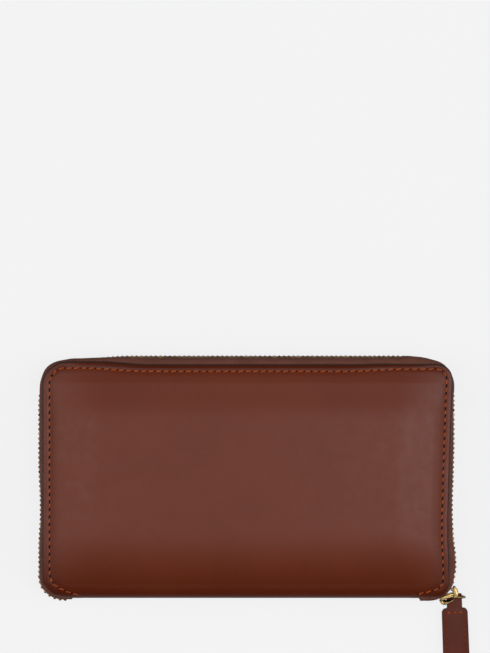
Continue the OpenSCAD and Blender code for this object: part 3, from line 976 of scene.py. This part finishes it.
def main_slider():
    """Body, bridge, inner plate, wedge and rails of the slider, by distance from the corner's centre."""
    plate = from_corner((12.9, 0.2), (12.35, 1.4), (12.15, 3.0), (12.2, 5.0), (12.7, 7.0), (13.3, 7.3),
                        (13.25, 5.6), (13.05, 4.2), (13.1, 2.6), (13.4, 1.0))
    nose = from_corner((13.0, 0.1), (12.9, 1.2), (13.6, 1.5), (14.3, 2.6), (14.6, 4.2), (14.5, 5.8),
                       (14.6, 6.5), (15.1, 6.4), (15.5, 5.0), (15.75, 3.2), (15.5, 1.5), (14.8, 0.6),
                       (13.9, 0.1))
    inner = from_corner((7.6, -1.2), (7.3, 2.4), (7.6, 6.6), (8.4, 6.6), (8.1, 2.4), (8.4, -1.2))
    wedge = from_corner((8.0, 0.0), (8.0, 1.6), (12.5, 1.8), (12.9, 0.6))
    rails = from_corner((11.6, 1.0), (11.5, 6.3), (12.5, 6.8), (12.6, 1.0))
    parts = [
        slab(spline(plate), MID - 3.9, MID + 3.9, 0.3),
        slab(spline(nose), MID - 1.25, MID + 1.25, 0.3),
        slab(spline(nose[-3:] + nose[:3]), MID - 2.6, MID + 2.6, 0.25),
        slab(spline(inner), MID - 3.6, MID + 3.6, 0.25),
        slab(spline(wedge), MID - 1.0, MID + 1.0, 0.2),
        slab(spline(rails), MID + 3.2, MID + 3.9, 0.2),
        slab(spline(rails), MID - 3.9, MID - 3.2, 0.2),
    ]
    parts = [([(x + 0.7, y - 0.35, z) for x, y, z in verts], faces) for verts, faces in parts]
    ob = joined("slider_body", parts, BRASS_MAT)
    give(ob, "zip_metal", "slider", None, "zip_slider")


def link_piece():
    low, high = box("pull_link")
    x, y, z = (low[0] + high[0]) / 2 + 0.7, low[1] + 1.2, MID
    outline = [(x + 0.35, y + 5.4), (x + 1.2, y + 4.9), (x + 2.2, y + 3.6), (x + 2.5, y + 1.9),
               (x + 2.3, y + 0.3), (x + 1.6, y - 0.3), (x + 0.6, y - 0.3), (x, y + 0.3), (x, y + 1.6),
               (x - 0.1, y + 3.4)]
    parts = [slab(spline(outline), z - 1.9, z + 1.9, 0.35)]
    arm = [(x - 1.0, y + 3.7), (x + 0.9, y + 5.2), (x + 1.3, y + 4.6), (x - 0.2, y + 3.0)]
    parts.append(slab(spline(arm), z - 0.8, z + 0.8, 0.2))
    ob = joined("link_plate", parts, BRASS_MAT)
    give(ob, "zip_metal", "link", None, "pull_link")


def ring_piece():
    low, high = box("pull_ring")
    r = 0.5
    y = (low[1] + high[1]) / 2
    x0, x1, z0, z1 = low[0] + r + 0.4, high[0] - r + 0.4, low[2] + r, high[2] - r
    c = 1.3
    corners = ((x1 - c, z1 - c, 0), (x0 + c, z1 - c, 90), (x0 + c, z0 + c, 180), (x1 - c, z0 + c, 270))
    path = []
    for cx, cz, start in corners:
        for k in range(7):
            a = math.radians(start + 15 * k)
            path.append((cx + c * math.cos(a), y, cz + c * math.sin(a)))
    ob = joined("ring_wire", [round_wire(path, r)], BRASS_MAT)
    give(ob, "zip_metal", "ring", None, "pull_ring")


def tab_piece():
    pivot = [v / MM for v in joints["tab_swing"]["pos_m"]]
    low = box("pull_tab")[0]
    length = pivot[1] - low[1]
    slope = math.asin((pivot[2] - 1.35) / length)
    turn = Matrix.Rotation(math.radians(2.4), 4, "Z") @ Matrix.Rotation(slope, 4, "X")
    turn = Matrix.Translation(Vector(pivot) + Vector((1.0, -0.2, 0))) @ turn
    t = 2.5
    half = 6.0
    # outline from the neck's left side, round the far end and back
    side = [(3.55, -0.3), (3.55, -4.9), (3.75, -5.3), (4.4, -5.4), (5.0, -5.55), (5.55, -6.1), (half, -7.0)]
    side += [(half + 0.02 * k, -7.0 - (length - 9.6) * k / 14) for k in range(1, 15)]
    side += [(half - 0.1, -length + 1.4), (half - 0.8, -length + 0.5), (half - 2, -length + 0.1)]
    outline = side + [(-x, y) for x, y in reversed(side)]
    verts, faces = slab(outline, -t / 2, t / 2, 0.42)
    mats = [0] * len(faces)
    n = len(outline)
    for i in range(3, 6):
        for k in range(i * n, (i + 1) * n):
            mats[k] = 1
    uvs = [(x, y) for x, y, z in verts]
    # loop of the neck round the ring's lower bar
    loops = []
    for x in (-3.5, -3.42, -3.1, 0, 3.1, 3.42, 3.5):
        e = 0.25 if abs(x) > 3.45 else 0.06 if abs(x) > 3.2 else 0
        outer, inner = [], []
        for k in range(15):
            a = math.radians(-115 + 230 * k / 14)
            outer.append((x, (1.55 - e) * math.cos(a) + 0.02, (1.42 - e) * math.sin(a)))
            inner.append((x, (0.66 + e) * math.cos(a), (0.66 + e) * math.sin(a)))
        loops.append(outer + inner[::-1])
    neck = tube_mesh(loops)
    extend(verts, faces, neck)
    mats += [0] * len(neck[1])
    uvs += [(p[0], p[1]) for p in neck[0]]
    verts = [tuple(turn @ Vector(p)) for p in verts]
    ob = add_mesh("tab_leather", verts, faces, [TAB_MAT, EDGE_MAT], mats, uvs, 50)
    give(ob, "cover_leather", "tab", None, "pull_tab")
    # seam round the body of the tab
    row = [(-4.1, -7.3 - 2.65 * k, 1) for k in range(int((length - 10) / 2.65))]
    row += [(4.1, y, 1) for x, y, d in row] + [(-2.7 + 2.7 * k, -7.2, 0) for k in range(3)]
    parts, slots = [], []
    for x, y, upright in row:
        for sign in (1, -1):
            up = Vector((0, 0, sign))
            along = Vector((0.12 * sign, 1, 0)) if upright else Vector((1, 0.1, 0))
            parts.append(blob((x, y, sign * (t / 2 + 0.02)), along, up, (0.85, 0.34, 0.2), 7))
            gap = Vector((0.14 * sign, 1, 0)) if upright else Vector((1, 0.1, 0))
            at = (x, y - 1.32, sign * (t / 2)) if upright else (x + 1.35, y, sign * (t / 2))
            slots.append(blob(at, gap, up, (0.5, 0.26, 0.06), 6))
    groups = (("tab_thread", parts[:-6], TAB_THREAD_MAT), ("tab_top_thread", parts[-6:], THREAD_MAT),
              ("tab_slots", slots, TAB_MAT))
    for label, group, mat in groups:
        group = [([tuple(turn @ Vector(p)) for p in v], f) for v, f in group]
        uvs = [(p[1], p[0]) for v, f in group for p in v]
        give(joined(label, group, mat, 75, uvs), "cover_leather", "tab", None)


# ---- inside: card pockets and coin pocket ----

def sheet_mesh(x0, x1, y0, y1, z0, z1, groove, wave, seed):
    """Thin sheet with rounded edges; a groove runs below its upper edge."""
    t = z1 - z0
    r = t * 0.45

    def steps(a, b, step):
        n = max(2, round((b - a) / step))
        edge = [0, r * 0.3, r, r + 0.5]
        inner = [a + r + 0.5 + (b - a - 2 * r - 1) * k / n for k in range(1, n)]
        return [a + e for e in edge] + inner + [b - e for e in reversed(edge)]

    xs = steps(x0, x1, 6)
    ys = steps(y0, y1, 5)
    if groove:
        ys = sorted(set(ys) | {y1 - groove + off for off in (-0.35, -0.18, 0, 0.18, 0.35)})
    top, low = [], []
    for y in ys:
        for x in xs:
            d = min(x - x0, x1 - x, y - y0, y1 - y)
            off = r - math.sqrt(max(0, r * r - max(0, r - d) ** 2))
            w = wave * math.sin(x * 0.09 + seed) * math.cos(y * 0.05 + seed * 2) * smooth(d, 0, 10)
            g = 0.14 * math.exp(-((y1 - y - groove) / 0.22) ** 2) if groove else 0
            top.append((x, y, z1 - off - g + w))
            low.append((x, y, z0 + off + w))
    n = len(top)
    faces = grid_faces(len(xs), len(ys))
    c, rows = len(xs), len(ys)
    rim = list(range(c)) + [i * c + c - 1 for i in range(1, rows)]
    rim += [n - 1 - j for j in range(1, c)] + [i * c for i in range(rows - 2, 0, -1)]
    return top + low, both_sides(faces, n, rim), [(x, y) for x, y, z in top + low]


def sheet_piece(node, name, mat, slot, body, groove, wave, back, seed):
    low, high = box(node)
    z0, z1 = (low[2], high[2]) if back else (BODY - high[2], BODY - low[2])
    v, f, uv = sheet_mesh(low[0], high[0], low[1], high[1], z0, z1, groove, wave, seed)
    if not back:
        v = flip(v)
    ob = add_mesh(name, v, f, [mat], None, uv, 60)
    give(ob, slot, body, None, node)


def pocket_seams(side):
    """Thread down the middle and both ends of the card pockets, and along the panel's top."""
    stitch, pitch = (1.05, 0.3, 0.16), 3.2
    sign = 1 if side == "back" else -1
    parts, faces = [], []
    for k in range(5):
        node = f"{side}_card_panel" if k == 0 else f"{side}_card_pocket_{k}"
        low, high = box(node)
        faces.append((low[1], high[1], high[2] if sign > 0 else low[2]))
    half = pocket_high[0]
    for x in (-half + 2.2, 0.0, half - 2.2):
        y = faces[0][1] - 2.5
        while y > faces[0][0] + 1.5:
            z = [f[2] for f in faces if f[1] > y + 1.3][-1]
            if all(abs(f[1] - y) > 1.3 for f in faces):
                parts.append(blob((x, y, z), (0.1, 1, 0), (0, 0, sign), stitch, 6))
            y -= pitch
    x = -half + 5
    while x < half - 4:
        if abs(x) > 2:
            parts.append(blob((x, faces[0][1] - 2.2, faces[0][2]), (1, 0.1, 0), (0, 0, sign), stitch, 6))
        x += pitch
    uvs = [(p[0] + p[1], p[2] + p[0]) for v, f in parts for p in v]
    give(joined(f"{side}_pocket_thread", parts, THREAD_MAT, 75, uvs), "inner_leather", side, None)


def coin_tape(front):
    node = "coin_tape_front" if front else "coin_tape_back"
    low, high = box(node)
    wall = MID + 2.25 + 0.6
    line = [(low[1], wall + 0.22), (low[1] + 3, wall + 0.24), (high[1] - 4.9, wall + 0.3),
            (high[1] - 2.6, wall + 0.75), (high[1] - 1.1, wall + 0.5), (high[1] - 0.35, wall - 0.6),
            (high[1] - 0.2, MID + 0.85)]
    points = []
    for i in range(len(line) - 1):
        p = [Vector(line[min(len(line) - 1, max(0, i + k - 1))]) for k in range(4)]
        points += [between(*p, k / 4) for k in range(4)]
    points.append(Vector(line[-1]))
    outer, inner = [], []
    for i, p in enumerate(points):
        t = (points[min(len(points) - 1, i + 1)] - points[max(0, i - 1)]).normalized()
        n = Vector((-t.y, t.x)) * 0.19
        outer.append(p + n)
        inner.append(p - n)
    profile = outer + inner[::-1]
    along = [0.0]
    for a, b in zip(profile, profile[1:]):
        along.append(along[-1] + (b - a).length)
    loops, uvs = [], []
    for x in spaced(low[0], high[0], 6):
        loop = [(x, p.x, p.y) for p in profile]
        loops.append(loop if front else flip(loop))
        uvs += [(x, a) for a in along]
    verts, faces = tube_mesh(loops)
    ob = add_mesh(f"coin_tape_{'front' if front else 'back'}_weave", verts, faces, [TAPE_MAT], None, uvs, 60)
    give(ob, "zip_tape", "spine", None, node)


def coin_teeth(front):
    node = "coin_teeth_front" if front else "coin_teeth_back"
    low, high = box(node)
    y = (low[1] + high[1]) / 2
    pitch = 2.0
    count = round((high[0] - low[0] - 0.85) / pitch) + 1
    verts, faces = [], []
    shape = tooth_shape(0.75)
    for k in range(count):
        x = low[0] + 0.425 + k * pitch
        loops = [[(x + l * 0.95, y + o * 0.7, MID + (z * 0.7 if front else -z * 0.7)) for o, l, z in loop]
                 for loop in shape]
        extend(verts, faces, tube_mesh(loops))
    ob = add_mesh(f"{node}_row", verts, faces, [TOOTH_MAT], None, None, 50)
    give(ob, "zip_teeth", "spine", None, node)


# ---- build the pieces ----

cover_skin("leather_front", False)
cover_skin("leather_back", True)
seam("seam_front", False)
seam("seam_back", True)
lining_skin("lining_front", False)
lining_skin("lining_back", True)

tape("tape_front", spaced(-S_SPLIT, S_SPLIT, 1.5), False, "front", ("front_zip_tape",), 1)
tape("tape_back", spaced(-S_END, S_END, 1.5), True, "back", ("back_zip_tape",))
tape("tape_end_left", spaced(-S_END, -S_SPLIT, 1.2), False, "back", ("zip_end_tape_left",), -1)
tape("tape_end_right", spaced(S_SPLIT, S_END, 1.2), False, "back", ("zip_end_tape_right",), -1)

s_last = S_SIDE + math.radians(44 + 3) * R_LOW - 0.5
s_left = S_END - 2.6
teeth("teeth_front", teeth_places(-S_SPLIT, S_SPLIT, True), True, "front", "front_teeth")
teeth("teeth_back", teeth_places(-s_left, S_SPLIT, False), False, "back", "back_teeth")
teeth("teeth_end_left", teeth_places(-s_left, -S_SPLIT - 0.3, True), True, "back", "zip_end_teeth_left")
right_front = teeth_places(S_SPLIT + 0.3, s_last, True)
right_back = teeth_places(S_SPLIT + 0.3, s_last, False)
teeth("teeth_end_right", right_front, True, "back", "zip_end_teeth_right")
teeth("teeth_end_right_back", right_back, False, "back", "zip_end_teeth_right")
bevelled("zip_top_stops", "top_stops", BRASS_MAT, "zip_metal", "back", 0.15)
bevelled("zip_bottom_stop", "bottom_stop", BRASS_MAT, "zip_metal", "back", 0.15)

main_slider()
link_piece()
ring_piece()
tab_piece()

for side in ("back", "front"):
    rear = side == "back"
    sheet_piece(f"{side}_card_panel", f"{side}_panel_leather", INNER_MAT, "inner_leather", side,
                1.2, 0.05, rear, 1)
    for k in range(1, 5):
        sheet_piece(f"{side}_card_pocket_{k}", f"{side}_pocket_{k}_leather", INNER_MAT, "inner_leather", side,
                    1.2, 0.03, rear, k)
    pocket_seams(side)
for name in ("back_board", "front_board", "spine_board"):
    board_mats = frame["nodes"][name].data.materials
    board_mats.clear()
    board_mats.append(BOARD_MAT)

for node in ("coin_wall_back", "coin_wall_front"):
    rear = node.endswith("back")
    sheet_piece(node, f"{node}_cloth", POCKET_MAT, "pocket_fabric", "spine", None, 0.05, rear, 2)
for node in ("coin_side_left", "coin_side_right", "coin_floor"):
    bevelled(node, f"{node}_cloth", POCKET_MAT, "pocket_fabric", "spine", 0.2)
for is_front in (True, False):
    coin_tape(is_front)
    coin_teeth(is_front)
bevelled("coin_stops", "coin_stop_blocks", BRASS_MAT, "zip_metal", "spine", 0.12)
bevelled("coin_slider", "coin_slider_body", BRASS_MAT, "zip_metal", "coin_slider", 0.15)
bevelled("coin_pull", "coin_pull_blade", BRASS_MAT, "zip_metal", "coin_pull", 0.12)


# ---- floor, light and camera ----

def floor_material():
    n = new_material("pale_floor")
    tint = n.mix(n.noise(0.004, 2), (0.046, 0.046, 0.047), (0.052, 0.052, 0.053))
    return n.finish(tint, 0.9, n.bump(n.noise(0.2, 3), 0.02, 0.1), Specular_IOR_Level=0.1,
                    Emission_Color=(1, 1, 1.01, 1), Emission_Strength=0.812)


me = bpy.data.meshes.new("floor")
reach, floor_z = 4.0, -0.0002
corners = ((-reach, -reach), (reach, -reach), (reach, reach), (-reach, reach))
me.from_pydata([(x, y, floor_z) for x, y in corners], [], [(0, 1, 2, 3)])
me.materials.append(floor_material())
floor = bpy.data.objects.new("floor", me)
bpy.context.scene.collection.objects.link(floor)

world = bpy.data.worlds.new("studio")
bpy.context.scene.world = world
studio = Nodes(world)
axes = studio.new("ShaderNodeSeparateXYZ")
studio.link(studio.coord.outputs["Generated"], axes.inputs[0])
# brighter towards the wallet's two ends, dark towards its spine and its top
sides = studio.spread(studio.math("ABSOLUTE", axes.outputs[0]), 2.05, 2.9, 0.1, 0.9, "SMOOTHSTEP")
near = studio.spread(studio.math("ABSOLUTE", axes.outputs[1]), 1.0, 0.03, 0.12, 0.6, "SMOOTHSTEP")
background = studio.new("ShaderNodeBackground")
background.inputs["Color"].default_value = (1.0, 0.995, 0.985, 1)
studio.link(studio.math("MULTIPLY", sides, near), background.inputs["Strength"])
studio.link(background.outputs[0], studio.new("ShaderNodeOutputWorld").inputs[0])


def area_light(name, at, size, power):
    """Rectangular light that faces the origin."""
    data = bpy.data.lights.new(name, "AREA")
    data.shape = "RECTANGLE"
    data.size, data.size_y = size
    data.energy = power
    ob = bpy.data.objects.new(name, data)
    ob.location = at
    ob.rotation_mode = "QUATERNION"
    ob.rotation_quaternion = (Vector((0, 0, 0)) - Vector(at)).to_track_quat("-Z", "Y")
    bpy.context.scene.collection.objects.link(ob)


area_light("softbox_right", (0.42, 0.0, 1.5), (0.34, 0.62), 7.8)
area_light("softbox_left", (-0.42, 0.0, 1.5), (0.34, 0.62), 4.5)

cam_data = bpy.data.cameras.new("camera")
cam = bpy.data.objects.new("camera", cam_data)
bpy.context.scene.collection.objects.link(cam)
distance, view_height = 1.6, 0.3004
view_x, view_y = -0.00046, 0.0712
cam_data.sensor_width = 36
cam_data.lens = cam_data.sensor_width * distance / view_height
cam.location = (view_x, view_y, BODY * MM + distance)
cam.rotation_mode = "QUATERNION"
cam.rotation_quaternion = Vector((0, 0, -1)).to_track_quat("-Z", "Y")
cam_data.clip_start, cam_data.clip_end = 0.05, 20
bpy.context.scene.camera = cam
bpy.context.scene.view_settings.view_transform = "Standard"
